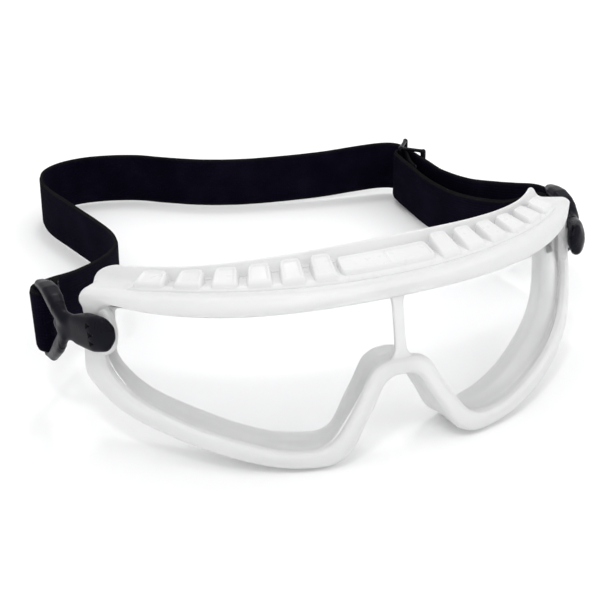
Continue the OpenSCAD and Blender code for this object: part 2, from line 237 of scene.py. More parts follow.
def join(name, obs):
    """One object from several, meshes kept as they are."""
    bm = bmesh.new()
    for o in obs:
        bm.from_mesh(o.data)
    me = bpy.data.meshes.new(name)
    bm.to_mesh(me)
    bm.free()
    for o in obs:
        d = o.data
        bpy.data.objects.remove(o)
        bpy.data.meshes.remove(d)
    me.polygons.foreach_set("use_smooth", [True] * len(me.polygons))
    ob = bpy.data.objects.new(name, me)
    coll.objects.link(ob)
    return ob


def soften(ob, passes, factor=0.5, only=None):
    """Even Laplacian smoothing, of the whole mesh or of the vertices picked by only."""
    bm = bmesh.new()
    bm.from_mesh(ob.data)
    vs = [v for v in bm.verts if only is None or only(v.co)]
    for _ in range(passes):
        bmesh.ops.smooth_vert(bm, verts=vs, factor=factor, use_axis_x=True, use_axis_y=True, use_axis_z=True)
    bm.to_mesh(ob.data)
    bm.free()


# ------------------------------------------------------------------ materials
def new_mat(name):
    m = bpy.data.materials.new(name)
    m.use_nodes = True
    nt = m.node_tree
    bsdf = nt.nodes["Principled BSDF"]
    return m, nt, bsdf


def node(nt, kind, **vals):
    n = nt.nodes.new(kind)
    for k, v in vals.items():
        if hasattr(n, k):
            setattr(n, k, v)
        else:
            n.inputs[k.replace("_", " ")].default_value = v
    return n


def ramp(nt, src, stops):
    r = nt.nodes.new("ShaderNodeValToRGB")
    el = r.color_ramp.elements
    while len(el) < len(stops):
        el.new(0.5)
    for e, (p, c) in zip(el, stops):
        e.position = p
        e.color = (c[0], c[1], c[2], 1) if len(c) == 3 else c
    nt.links.new(src, r.inputs[0])
    return r


def grey(v):
    return (v, v, v)


def frosted(name, base, clear, rough, sss):
    """Milky clear soft moulding: cloudy tint, fine orange-peel and faint flow marks."""
    m, nt, b = new_mat(name)
    L = nt.links
    tc = nt.nodes.new("ShaderNodeTexCoord")
    cloud = node(nt, "ShaderNodeTexNoise", Scale=70.0, Detail=3.0, Roughness=0.55)
    L.new(tc.outputs["Object"], cloud.inputs["Vector"])
    cr_ = ramp(nt, cloud.outputs["Fac"], [(0.3, tuple(c * 0.94 for c in base)), (0.7, base)])
    L.new(cr_.outputs["Color"], b.inputs["Base Color"])
    mot = node(nt, "ShaderNodeTexNoise", Scale=260.0, Detail=2.0, Roughness=0.5)
    L.new(tc.outputs["Object"], mot.inputs["Vector"])
    rr = ramp(nt, mot.outputs["Fac"], [(0.3, grey(rough - 0.06)), (0.7, grey(rough + 0.07))])
    L.new(rr.outputs["Color"], b.inputs["Roughness"])
    tr = ramp(nt, cloud.outputs["Fac"], [(0.3, grey(max(clear - 0.05, 0.0))), (0.7, grey(clear + 0.05 if clear > 0 else 0.01))])
    L.new(tr.outputs["Color"], b.inputs["Transmission Weight"])
    peel = node(nt, "ShaderNodeTexNoise", Scale=900.0, Detail=2.0, Roughness=0.5)
    L.new(tc.outputs["Object"], peel.inputs["Vector"])
    bump = node(nt, "ShaderNodeBump", Strength=0.12, Distance=0.00012)
    L.new(peel.outputs["Fac"], bump.inputs["Height"])
    L.new(bump.outputs["Normal"], b.inputs["Normal"])
    b.inputs["IOR"].default_value = 1.42
    b.inputs["Subsurface Weight"].default_value = sss
    b.inputs["Subsurface Radius"].default_value = (0.004, 0.004, 0.004)
    b.inputs["Subsurface Scale"].default_value = 0.5
    b.inputs["Specular IOR Level"].default_value = 0.35
    return m


def clear_lens():
    m, nt, b = new_mat("clear_polycarbonate")
    L = nt.links
    tc = nt.nodes.new("ShaderNodeTexCoord")
    n = node(nt, "ShaderNodeTexNoise", Scale=45.0, Detail=2.0, Roughness=0.5)
    L.new(tc.outputs["Object"], n.inputs["Vector"])
    c = ramp(nt, n.outputs["Fac"], [(0.3, (0.974, 0.976, 0.977)), (0.7, (0.984, 0.985, 0.986))])
    L.new(c.outputs["Color"], b.inputs["Base Color"])
    r = ramp(nt, n.outputs["Fac"], [(0.3, grey(0.015)), (0.7, grey(0.045))])
    L.new(r.outputs["Color"], b.inputs["Roughness"])
    b.inputs["Transmission Weight"].default_value = 1.0
    b.inputs["IOR"].default_value = 1.3
    return m


def black_plastic(name, rough, base=(0.011, 0.011, 0.016)):
    """Satin black moulding with fine spark texture and slightly worn, shinier patches."""
    m, nt, b = new_mat(name)
    L = nt.links
    tc = nt.nodes.new("ShaderNodeTexCoord")
    n = node(nt, "ShaderNodeTexNoise", Scale=160.0, Detail=3.0, Roughness=0.6)
    L.new(tc.outputs["Object"], n.inputs["Vector"])
    c = ramp(nt, n.outputs["Fac"], [(0.3, base), (0.75, tuple(v * 1.5 for v in base))])
    L.new(c.outputs["Color"], b.inputs["Base Color"])
    r = ramp(nt, n.outputs["Fac"], [(0.3, grey(rough - 0.05)), (0.7, grey(rough + 0.07))])
    L.new(r.outputs["Color"], b.inputs["Roughness"])
    f = node(nt, "ShaderNodeTexNoise", Scale=2600.0, Detail=2.0, Roughness=0.5)
    L.new(tc.outputs["Object"], f.inputs["Vector"])
    bump = node(nt, "ShaderNodeBump", Strength=0.22, Distance=0.00005)
    L.new(f.outputs["Fac"], bump.inputs["Height"])
    L.new(bump.outputs["Normal"], b.inputs["Normal"])
    b.inputs["Specular IOR Level"].default_value = 0.1
    return m


def webbing_mat():
    """Knitted elastic: UV is millimetres along and across the webbing."""
    m, nt, b = new_mat("knitted_elastic")
    L = nt.links
    uv = nt.nodes.new("ShaderNodeUVMap")
    sep = nt.nodes.new("ShaderNodeSeparateXYZ")
    L.new(uv.outputs["UV"], sep.inputs[0])

    def math_(op, a, bb=None, cc=None, clamp=False):
        n = nt.nodes.new("ShaderNodeMath")
        n.operation = op
        n.use_clamp = clamp
        for s, v in zip(n.inputs, (a, bb, cc)):
            if v is None:
                continue
            if isinstance(v, (int, float)):
                s.default_value = v
            else:
                L.new(v, s)
        return n.outputs[0]

    u, v = sep.outputs["X"], sep.outputs["Y"]
    # wales run along, courses across: 1.05 mm and 0.75 mm
    wale = math_("SINE", math_("MULTIPLY", v, 2 * math.pi / 1.05))
    tilt = math_("MULTIPLY_ADD", wale, 0.22, u)
    course = math_("SINE", math_("MULTIPLY", tilt, 2 * math.pi / 0.75))
    knit = math_("MULTIPLY_ADD", math_("MULTIPLY", math_("MULTIPLY_ADD", wale, 0.55, 1.3), math_("MULTIPLY_ADD", course, 0.8, 1.3)), 0.22, 0.0)
    fuzz = node(nt, "ShaderNodeTexNoise", Scale=2.1, Detail=4.0, Roughness=0.65)
    L.new(uv.outputs["UV"], fuzz.inputs["Vector"])
    broad = node(nt, "ShaderNodeTexNoise", Scale=0.09, Detail=3.0, Roughness=0.5)
    L.new(uv.outputs["UV"], broad.inputs["Vector"])
    h = math_("MULTIPLY_ADD", fuzz.outputs["Fac"], 0.55, knit)
    edge = math_("SUBTRACT", math_("ABSOLUTE", math_("SUBTRACT", v, 10.25)), 9.2)
    edge = math_("MULTIPLY", edge, 1.3, clamp=True)
    tone = math_("MULTIPLY_ADD", knit, 0.22, math_("MULTIPLY_ADD", fuzz.outputs["Fac"], 0.8, math_("MULTIPLY", broad.outputs["Fac"], 0.4)))
    body = ramp(nt, tone, [(0.38, (0.0009, 0.0006, 0.0026)), (0.66, (0.0024, 0.0018, 0.0058)), (1.0, (0.010, 0.0088, 0.019))])
    rim = ramp(nt, tone, [(0.35, (0.003, 0.003, 0.0033)), (0.7, (0.008, 0.008, 0.0085)), (0.95, (0.02, 0.02, 0.02))])
    mix = nt.nodes.new("ShaderNodeMix")
    mix.data_type = "RGBA"
    L.new(edge, mix.inputs["Factor"])
    L.new(body.outputs["Color"], mix.inputs["A"])
    L.new(rim.outputs["Color"], mix.inputs["B"])
    L.new(mix.outputs["Result"], b.inputs["Base Color"])
    bump = node(nt, "ShaderNodeBump", Strength=0.75, Distance=0.00022)
    L.new(h, bump.inputs["Height"])
    L.new(bump.outputs["Normal"], b.inputs["Normal"])
    rr = ramp(nt, fuzz.outputs["Fac"], [(0.3, grey(0.82)), (0.7, grey(0.97))])
    L.new(rr.outputs["Color"], b.inputs["Roughness"])
    b.inputs["Specular IOR Level"].default_value = 0.012
    b.inputs["Sheen Weight"].default_value = 0.008
    b.inputs["Sheen Roughness"].default_value = 0.5
    b.inputs["Sheen Tint"].default_value = (0.55, 0.52, 0.7, 1)
    return m


def thread_mat():
    m, nt, b = new_mat("sewing_thread")
    L = nt.links
    tc = nt.nodes.new("ShaderNodeTexCoord")
    w = node(nt, "ShaderNodeTexWave", Scale=900.0, Distortion=1.0, Detail=1.0)
    L.new(tc.outputs["Object"], w.inputs["Vector"])
    c = ramp(nt, w.outputs["Fac"], [(0.2, (0.012, 0.011, 0.018)), (0.8, (0.035, 0.034, 0.045))])
    L.new(c.outputs["Color"], b.inputs["Base Color"])
    bump = node(nt, "ShaderNodeBump", Strength=0.5, Distance=0.00008)
    L.new(w.outputs["Fac"], bump.inputs["Height"])
    L.new(bump.outputs["Normal"], b.inputs["Normal"])
    b.inputs["Roughness"].default_value = 0.6
    return m


def stud_mat():
    m, nt, b = new_mat("natural_nylon")
    L = nt.links
    tc = nt.nodes.new("ShaderNodeTexCoord")
    n = node(nt, "ShaderNodeTexNoise", Scale=400.0, Detail=2.0, Roughness=0.5)
    L.new(tc.outputs["Object"], n.inputs["Vector"])
    c = ramp(nt, n.outputs["Fac"], [(0.3, (0.66, 0.67, 0.67)), (0.7, (0.76, 0.76, 0.75))])
    L.new(c.outputs["Color"], b.inputs["Base Color"])
    r = ramp(nt, n.outputs["Fac"], [(0.3, grey(0.34)), (0.7, grey(0.46))])
    L.new(r.outputs["Color"], b.inputs["Roughness"])
    return m


M_FRAME = frosted("milky_moulding", (0.945, 0.945, 0.946), 0.4, 0.42, 0.0)
M_VENT = frosted("milky_vent", (0.715, 0.715, 0.717), 0.0, 0.32, 0.0)
M_LENS = clear_lens()
M_CLIP = black_plastic("black_satin", 0.28, (0.0022, 0.0022, 0.0055))
M_SLIDER = black_plastic("black_gloss", 0.27, (0.0022, 0.0022, 0.0042))
M_WEB = webbing_mat()
M_THREAD = thread_mat()
M_STUD = stud_mat()

# ------------------------------------------------------------------ soft moulding
PIV = np.array([84.4, 38.5, 45.8])


def build_moulding():
    rows = smooth_loop(FULL, 8)
    kb_r = [0.35, 0.5, 0.75, 0.8, 1.4, 0.8, 0.6, 0.5, 0.5, 0.8, 0.9, 0.5, 0.35]
    kt_r = [0.4, 0.7, 1.0, 0.9, 1.6, 0.6, 0.6, 0.9, 0.6, 0.9, 0.8, 0.5, 0.35]
    verts = []
    for r in rows:
        k = min(max(r[5], 0), 1)
        radii = [a * (1 - k) + b * k for a, b in zip(kb_r, kt_r)]
        verts.append(round_section(section(r), radii, 5))
    V = np.array(verts)
    n, m = V.shape[:2]
    P = surf(V[..., 0], V[..., 1], V[..., 2])
    P = rest(P)
    P[..., 2] = np.maximum(P[..., 2], 0.0)
    body = make("moulding_body", P.reshape(-1, 3), tube_faces(n, m, True))

    # centre strut: rounded bar in front of the lens, flared into bridge and brow
    zs = np.linspace(28.9, 53.4, 60)
    ring = []
    for z in zs:
        hw = 1.7 + 5 * math.exp(-(z - 29.5) / 1.6) * (1 if z > 29.5 else 1) + 4 * math.exp((z - 53) / 1.4)
        hw = min(hw, 8.0)
        row = []
        for j in range(28):
            a = 2 * math.pi * j / 28
            ca, sa = math.cos(a), math.sin(a)
            ex = 0.45
            row.append((hw * math.copysign(abs(ca) ** ex, ca), 1.05 + 0.86 * math.copysign(abs(sa) ** 0.6, sa), z))
        ring.append(row)
    R_ = np.array(ring)
    f = tube_faces(len(zs), 28, False)
    f.append(tuple(range(27, -1, -1)))
    f.append(tuple((len(zs) - 1) * 28 + j for j in range(28)))
    strut = make("strut", rest(R_).reshape(-1, 3), f)

    # side bosses: a low dome on the rim's front round each pivot
    bosses = []
    nrm = Vector((0.83, -0.55, 0)).normalized()
    for s in (-1, 1):
        prof = [(0.0, 84.38), (1.5, 84.38), (2.9, 84.34), (3.35, 84.1), (3.5, 83.6), (3.5, 82.4), (3.55, 81.2), (3.7, 79.8), (3.4, 78.9), (0.0, 78.7)]
        prof = smooth_open(prof, 3)
        rr = []
        for r_, x_ in prof:
            rr.append([(s * x_, PIV[1] + r_ * math.cos(2 * math.pi * j / 40), PIV[2] + r_ * math.sin(2 * math.pi * j / 40)) for j in range(40)])
        A = np.array(rr)
        # keep it in front of the lens
        dd = (np.abs(A[..., 0]) - 81.3) * (-0.84) + (A[..., 1] - 40.4) * 0.54
        over = np.maximum(dd, 0)
        A[..., 0] += s * over * 0.84
        A[..., 1] -= over * 0.54
        bosses.append(make("boss", rest(A).reshape(-1, 3), tube_faces(len(rr), 40, False)))
        # the pad round it
        pad = []
        c0 = np.array([81.9, PIV[1] + 0.2, PIV[2]])
        t1 = np.array([0.55, 0.83, 0.0])
        n1 = np.array([0.83, -0.55, 0.0])
        for r_, h_ in smooth_open([(8.0, -1.4), (8.0, -0.3), (7.7, 0.45), (7.0, 0.85), (5.8, 0.95), (4, 0.95), (0.01, 0.95)], 3):
            row = []
            for j in range(48):
                a = 2 * math.pi * j / 48
                p = c0 + t1 * r_ * math.cos(a) * 0.62 + t1 * 0.6 + np.array([0, 0, 1.0]) * r_ * math.sin(a) + n1 * h_
                u = p[0]
                row.append((s * p[0], p[1], p[2]))
            pad.append(row)
        Pd = np.array(pad)
        bosses.append(make("pad", rest(Pd).reshape(-1, 3), tube_faces(len(pad), 48, False)))
    ob = join("soft_moulding", [body, strut] + bosses)
    ob.data.materials.append(M_FRAME)
    return ob


moulding = build_moulding()
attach(moulding, "goggle_frame")
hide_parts("frame_shell")

# ------------------------------------------------------------------ lens
LOW = [(0, 30.8), (5, 30.6), (9.8, 28), (14.2, 20.5), (18, 14.6), (21.8, 9.4), (24.8, 6.9), (28.5, 5.5), (33, 5.5),
       (41.3, 7), (52.3, 11), (63.5, 16), (73.8, 22), (79, 27.2), (82, 32.6), (84.4, 40)]


def build_lens():
    us = np.linspace(-84.1, 84.1, 220)
    lo = np.interp(np.abs(us), [p[0] for p in LOW], [p[1] for p in LOW]) - 1.5
    q = (us / 50) ** 2
    hi = np.minimum(50.6 - 0.35 * q + 0.5 * q * q + 1.7, 53.9)
    m = 12
    t = np.linspace(0, 1, m)
    Z = lo[:, None] * (1 - t) + hi[:, None] * t
    U = np.repeat(us[:, None], m, 1)
    front = surf(U, Z, np.full_like(U, LIP + 0.3))
    back = surf(U, Z, np.full_like(U, LIP + 0.3 + 1.5))[:, ::-1]
    V = np.concatenate([front, back], 1)
    n, mm = V.shape[:2]
    f = tube_faces(n, mm, False)
    for k in range(m - 1):
        f.append((k, k + 1, mm - 2 - k, mm - 1 - k))
        b0 = (n - 1) * mm
        f.append((b0 + k, b0 + mm - 1 - k, b0 + mm - 2 - k, b0 + k + 1))
    ob = make("lens_sheet", rest(V).reshape(-1, 3), f)
    ob.data.materials.append(M_LENS)
    return ob


lens = build_lens()
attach(lens, "goggle_frame")
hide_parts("lens")


# ------------------------------------------------------------------ vent cover
def depth_at(u):
    return 15 - 3.6 * (np.abs(u) / 86) ** 2


def deck_at(u, d):
    h = deck_z(u)
    D = depth_at(u)
    f = (d - 0.1) / (D - 2.5)
    q = (np.asarray(u, float) / 50) ** 2
    z0 = 57 + 2.14 * q - 0.47 * q * q
    return z0 + (h - z0) * f


def relief(name, uc, hw, d0, d1, fn, nu, nd, foot=0.42):
    """A closed patch on the deck: fn(x, y) gives the height in mm over the deck, x and y run -1 to 1."""
    xs = np.linspace(-1, 1, nu)
    ys = np.linspace(-1, 1, nd)
    top, bot = [], []
    for y in ys:
        rt, rb = [], []
        for x in xs:
            u = uc + x * hw
            d = d0 + (d1 - d0) * (y + 1) / 2
            z = deck_at(u, d)
            rt.append(surf(u, z + fn(x * hw, y * (d1 - d0) / 2), d))
            rb.append(surf(u, z + foot, d))
        top.append(rt)
        bot.append(rb)
    T, B = np.array(top), np.array(bot)
    V = np.concatenate([T.reshape(-1, 3), B.reshape(-1, 3)])
    f = []
    o = nu * nd
    for i in range(nd - 1):
        for j in range(nu - 1):
            a = i * nu + j
            f.append((a, a + 1, a + nu + 1, a + nu))
            f.append((o + a, o + a + nu, o + a + nu + 1, o + a + 1))
    edge = [j for j in range(nu)] + [i * nu + nu - 1 for i in range(1, nd)] + [(nd - 1) * nu + j for j in range(nu - 2, -1, -1)] + [i * nu for i in range(nd - 2, 0, -1)]
    for k in range(len(edge)):
        a, b2 = edge[k], edge[(k + 1) % len(edge)]
        f.append((a, a + o, b2 + o, b2))
    return make(name, rest(V), f)


def rr_in(x, y, hx, hy, r):
    """Distance inside a rounded rectangle (positive inside)."""
    qx, qy = abs(x) - (hx - r), abs(y) - (hy - r)
    outside = math.hypot(max(qx, 0), max(qy, 0))
    return r - outside - min(max(qx, qy), 0)


def hood_height(hx, hy, H, base):
    def fn(x, y):
        # y > 0 is the rear. The back corners are round, the front runs out on the deck
        r = 2.3 if y > 0 else 0.9
        d = rr_in(x, y, hx - 0.3, hy - 0.2, r)
        slope = 0.22 + 0.78 * min(max((y + hy) / (1.7 * hy), 0), 1) ** 0.9
        top = base + H * slope
        er = 0.9
        if d <= -0.02:
            return base - 0.35
        if d < er:
            e = er - d
            lift_ = math.sqrt(max(er * er - e * e, 0)) / er
            return base + (top - base) * lift_
        # a raised lip round a shallow dished top
        dish = min(max((d - er) / 0.9, 0), 1)
        dish = dish * dish * (3 - 2 * dish)
        return top - 0.5 * dish * slope
    return fn


def build_vent():
    parts = []
    # base strip
    us = np.linspace(-76.5, 76.5, 180)
    rings = []
    for u in us:
        D = depth_at(u)
        row = []
        ds = np.linspace(1.5, D - 3.1, 10)
        for d in ds:
            ease = min(max((76.5 - abs(u)) / 2.2, 0), 1) * min((d - 1.5) / 1.3, 1)
            row.append(surf(u, deck_at(u, d) + 0.05 + 1.0 * math.sqrt(max(ease, 0)), d))
        for d in ds[::-1]:
            row.append(surf(u, deck_at(u, d) - 0.5, d))
        rings.append(row)
    A = np.array(rings)
    f = tube_faces(len(us), 20, False)
    f.append(tuple(range(19, -1, -1)))
    f.append(tuple((len(us) - 1) * 20 + j for j in range(20)))
    parts.append(make("vent_base", rest(A).reshape(-1, 3), f))
    for s in (-1, 1):
        for i in range(6):
            u = s * (21.5 + 10 * i)
            D = float(depth_at(u))
            d0, d1 = 2.1, D - 3.2
            hy = (d1 - d0) / 2
            parts.append(relief("hood", u, 4.1, d0, d1, hood_height(4.1, hy, 3.9, 0.95), 48, 48))
    # two-part plaque

    def plaque_fn(x, y):
        hx, hy = 16.6, 3.95
        d = rr_in(x, y, hx - 0.25, hy - 0.2, 1.7)
        slope = 0.55 + 0.45 * min(max((y + hy) / (2 * hy), 0), 1)
        top = 0.95 + 2.5 * slope
        if d <= -0.02:
            return 0.6
        if d < 0.8:
            e = 0.8 - d
            return 0.95 + (top - 0.95) * math.sqrt(max(0.64 - e * e, 0)) / 0.8
        k = min(max((d - 0.8) / 0.7, 0), 1)
        k = k * k * (3 - 2 * k)
        # the dividing groove and the right half a touch lower
        g = math.exp(-((x - 0.4) / 0.45) ** 2) * 0.45
        low = 0.22 / (1 + math.exp(-(x - 0.4) * 3))
        return top - (0.3 + low) * k - g * k

    parts.append(relief("plaque", 0.0, 16.6, 2.95, 10.9, plaque_fn, 130, 40))
    ob = join("vent_strip", parts)
    ob.data.materials.append(M_VENT)
    return ob


vent = build_vent()
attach(vent, "goggle_frame")
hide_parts("vent_cover")

# ------------------------------------------------------------------ studs keep their CAD mesh
for nm in ("left_pivot_stud", "right_pivot_stud"):
    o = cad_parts[nm]
    o.data.materials.clear()
    o.data.materials.append(M_STUD)

# ------------------------------------------------------------------ swivel clips
BAR = (94.0, 66.5)
BZ0, BZ1 = 33.6, 55.8


def ball_points(c, r, n=14):
    pts = []
    for i in range(1, n):
        a = math.pi * i / n
        for j in range(2 * n):
            b = math.pi * j / n
            pts.append((c[0] + r * math.sin(a) * math.cos(b), c[1] + r * math.sin(a) * math.sin(b), c[2] + r * math.cos(a)))
    pts.append((c[0], c[1], c[2] + r))
    pts.append((c[0], c[1], c[2] - r))
    return pts


def hull(points):
    bm = bmesh.new()
    for p in points:
        bm.verts.new(p)
    res = bmesh.ops.convex_hull(bm, input=bm.verts)
    loose = [v for v in bm.verts if not v.link_faces]
    bmesh.ops.delete(bm, geom=loose, context="VERTS")
    me = bpy.data.meshes.new("hull")
    bm.to_mesh(me)
    bm.free()
    ob = bpy.data.objects.new("hull", me)
    coll.objects.link(ob)
    return ob


def disc_points(x, r, cy=38.5, cz=45.8, n=48):
    return [(x, cy + r * math.cos(2 * math.pi * j / n), cz + r * math.sin(2 * math.pi * j / n)) for j in range(n)]


def build_clip(s, name):
    P = 46.3
    obs = []
    # head: rounded cap over the pivot, running forward round the rim
    pts = disc_points(84.95, 5.8, 38.6, P) + disc_points(86.4, 6.1, 38.8, P) + disc_points(87.8, 5.4, 39.3, P) + disc_points(88.5, 3.8, 40.0, P)
    for q in (-1, 1):
        pts += ball_points((81.4, 32.1, P + 0.1 + q * 1.7), 1.35) + ball_points((83.4, 33.1, P + q * 3.8), 1.9) + ball_points((86.1, 36.0, P + q * 4.4), 1.6)
        pts += ball_points((89.7, 43.5, P + 0.2 + q * 3.6), 1.35)
    pts += ball_points((84.8, 34.6, P), 2.6) + ball_points((81.7, 32.2, P), 1.8)
    obs.append(hull(pts))
    # neck: a broad blade that turns outward
    spine = [(87.8, 40.6, P + 0.2, 4.7, 1.6), (89.7, 44.2, P + 0.4, 4.5, 1.5), (91.2, 47.6, P + 0.6, 4.9, 1.5), (92.3, 50.4, P + 0.4, 5.6, 1.45)]
    for a, b in zip(spine[:-1], spine[1:]):
        pts = []
        for c in (a, b):
            for q in (-1, 1):
                pts += ball_points((c[0], c[1], c[2] + q * (c[3] - c[4])), c[4], 10)
        obs.append(hull(pts))
    # upper arm: rises from the neck in a long S and hooks over the top of the bar
    up = [(92.2, 91.7, 47.8, 48.8, 1.3, 1.65), (93.2, 91.5, 51.0, 51.5, 1.4, 1.6), (93.8, 91.3, 54.4, 54.0, 1.3, 1.5),
          (94.1, 91.3, 58.2, 55.8, 0.9, 1.45), (94.3, 91.7, 62.2, 56.5, 0.5, 1.35), (94.4, 93.2, 66.3, 56.5, 0.1, 1.35)]
    for a, b in zip(up[:-1], up[1:]):
        pts = []
        for c in (a, b):
            for uc in (c[0], c[1]):
                pts += ball_points((uc, c[2] - c[4] * 0.5, c[3] + c[4] * 0.45), c[5], 10)
                pts += ball_points((uc, c[2] + c[4] * 0.6, c[3] - c[4] * 0.5), c[5], 10)
        obs.append(hull(pts))
    # lower arm and foot
    dn = [(92.2, 50.0, 43.8, 1.9, 1.5), (92.7, 52.8, 41.2, 2.3, 1.5), (93.2, 55.6, 38.6, 2.4, 1.5), (93.5, 58.6, 36.3, 1.9, 1.5), (93.8, 62.6, 33.3, 1.2, 1.35), (94.0, 66.3, 32.9, 0.3, 1.3)]
    for a, b in zip(dn[:-1], dn[1:]):
        pts = []
        for c in (a, b):
            pts += ball_points((c[0] - 0.2, c[1] - c[3], c[2] - 0.3 * c[3]), c[4], 10)
            pts += ball_points((c[0], c[1] + c[3] * 0.3, c[2]), c[4] * 0.95, 10)
        obs.append(hull(pts))
    # web between neck and arms
    pts = []
    for c in ((92.3, 50.6, P + 4.2, 1.3), (92.2, 50.4, P - 3.6, 1.3), (93.0, 53.0, P + 0.6, 1.2)):
        pts += ball_points(c[:3], c[3], 10)
    obs.append(hull(pts))
    # bar
    bar = [(BAR[0], BAR[1], z, 1.38) for z in (BZ0 - 1.2, BZ1 + 0.9)]
    pts = []
    for b in bar:
        pts += [(b[0] + b[3] * math.cos(2 * math.pi * j / 40), b[1] + b[3] * math.sin(2 * math.pi * j / 40), b[2]) for j in range(40)]
    obs.append(hull(pts))
    ob = join(name, obs)
    md = ob.modifiers.new("remesh", "REMESH")
    md.mode = "VOXEL"
    md.voxel_size = 0.27
    md.adaptivity = 0.0
    apply_mods(ob)
    soften(ob, 14)
    soften(ob, 45, only=lambda c: c.y < 50.5)
    # inner face: clear of the rim through the whole swing
    me = ob.data
    co = np.zeros(len(me.vertices) * 3)
    me.vertices.foreach_get("co", co)
    co = co.reshape(-1, 3)
    y, z = co[:, 1] - PIV[1], co[:, 2] - PIV[2]
    r = np.hypot(y, z)
    al = np.arctan2(z, y)
    # furthest back that each point gets on the frame's side during the swing
    ymax = np.max([r * np.cos(al + math.radians(t)) for t in (-7, -3.5, 0, 5, 10, 15, 20, 25, 30, 33)], axis=0) + PIV[1]
    uu = np.linspace(60, 88.3, 400)
    edge_y = np.concatenate([fy(uu), [49.0, 60]])
    edge_x = np.concatenate([uu + 0.85, [89.2, 89.2]])
    bound = np.interp(ymax, edge_y, edge_x)
    bound = np.maximum(bound, 84.78 * (r < 4.6))
    bound = np.where((r > 10.2) & (r < 16.5), np.maximum(bound, 90.3), bound)
    co[:, 0] = np.where(r < 16.5, np.maximum(co[:, 0], bound), co[:, 0])
    me.vertices.foreach_set("co", co.ravel())
    # three triangular recesses in the outer face
    cut = bmesh.new()
    for k in (-1, 0, 1):
        c = Vector((86.4 + 0.45 * (k > 0), 35.35 + 0.8 * (k > 0), P + 0.3 + 2.8 * k))
        nrm = Vector((0.80, -0.60, 0)).normalized()
        t = Vector((0.60, 0.80, 0))
        up_ = Vector((0, 0, 1))
        ring_a, ring_b = [], []
        for j in range(3):
            a = math.radians(180 + 120 * j)
            off = t * math.cos(a) * 1.3 + up_ * math.sin(a) * 1.3
            ring_a.append(cut.verts.new(c + off * 1.0 + nrm * 3.0))
            ring_b.append(cut.verts.new(c + off * 0.8 - nrm * 1.3))
        cut.faces.new(ring_a)
        cut.faces.new(ring_b[::-1])
        for j in range(3):
            cut.faces.new((ring_a[j], ring_b[j], ring_b[(j + 1) % 3], ring_a[(j + 1) % 3]))
    bmesh.ops.recalc_face_normals(cut, faces=cut.faces)
    cme = bpy.data.meshes.new("cut")
    cut.to_mesh(cme)
    cut.free()
    cob = bpy.data.objects.new("cut", cme)
    coll.objects.link(cob)
    bo = ob.modifiers.new("holes", "BOOLEAN")
    bo.operation = "DIFFERENCE"
    bo.object = cob
    bo.solver = "EXACT"
    apply_mods(ob)
    bpy.data.objects.remove(cob)
    bpy.data.meshes.remove(cme)
    me = ob.data
    co = np.zeros(len(me.vertices) * 3)
    me.vertices.foreach_get("co", co)
    co = co.reshape(-1, 3)
    co[:, 0] *= s
    co = rest(co)
    me.vertices.foreach_set("co", co.ravel())
    if s < 0:
        me.flip_normals()
    me.polygons.foreach_set("use_smooth", [True] * len(me.polygons))
    me.materials.clear()
    me.materials.append(M_CLIP)
    return ob


for s, nm, body in ((-1, "left", "left_clip"), (1, "right", "right_clip")):
    c = build_clip(s, nm + "_clip_moulding")
    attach(c, body)
    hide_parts(nm + "_swivel_clip")

# ------------------------------------------------------------------ webbing
BW, BT = 20.5, 1.5
LEAN_Y = BW * SL
bar_c = np.array([94.0, 66.5 * CL + (BZ0 + BZ1) / 2 * SL, -66.5 * SL + (BZ0 + BZ1) / 2 * CL + 1.35])
LOOP_R = 1.4 + 0.35 + BT / 2
ZT = bar_c[2] + BW / 2 * CL


def arc(sign, degs):
    return [[sign * 94.0 + LOOP_R * math.cos(math.radians(a)), bar_c[1] - LOOP_R * math.sin(math.radians(a)), ZT, 1] for a in degs]


ROUTE = [
    [-96.5, 77, 40.8, 1], [-93.5, 82.5, 39.3, 1], [-86, 89.5, 37, 0.8], [-78, 97, 34, 0.6], [-70, 106, 31, 0.4], [-62, 117, 27.5, 0.2],
    [-55.5, 127, 25, 0.1], [-51, 137, 23, 0], [-49.5, 148, 21.5, 0], [-51, 160, 20.8, 0], [-54, 172, 20.8, 0], [-57, 184, 20.8, 0],
    [-60, 196, 20.8, 0], [-60.5, 206, 20.8, 0], [-58, 214, 20.8, 0], [-51, 219.5, 20.8, 0], [-41, 221.5, 20.8, 0], [-30, 220, 20.8, 0],
    [-18, 215.5, 20.8, 0], [-8, 208.5, 20.8, 0], [5, 200.5, 20.8, 0], [20, 194.5, 20.8, 0], [36, 190.5, 21, 0], [53, 187, 21.5, 0],
    [67, 185, 22.3, 0], [78, 183.6, 22.6, 0], [84.4, 180.8, 22.6, 0], [86.4, 175, 22.6, 0], [87.2, 168, 22.6, 0], [88.3, 158, 22.6, 0], [89.4, 148, 22.6, 0],
    [92, 132, 25, 0], [94.4, 116, 29.5, 0.3], [96, 102, 34, 0.6], [96.9, 89, 38.3, 1], [96.6, 78, 40.8, 1]]
BACK = [
    [91.4, 78, 40.6, 1], [89.8, 86, 36, 0.8], [88, 95, 31.2, 0.6], [86, 105, 28, 0.4], [83.8, 117, 25, 0.2], [82, 130, 22.8, 0],
    [80.8, 145, 21.8, 0], [80.1, 157, 22.4, 0], [79.9, 165, 22.6, 0]]
EYE = (82.5, 172.0)
EYE_R = 1.2 + 0.35 + BT / 2
FLAP = [[84.4, 169.4, 22.6, 0], [83.0, 165.4, 22.6, 0], [82.0, 161.6, 22.5, 0], [81.8, 158, 22.3, 0]]
FOLD = [[-91.4, 74.9, 41.4, 1], [-91.4, 78.5, 40.6, 1], [-90.8, 81.6, 39.7, 1], [-88.5, 84.9, 38.4, 0.9], [-84.7, 88.2, 37, 0.8]]


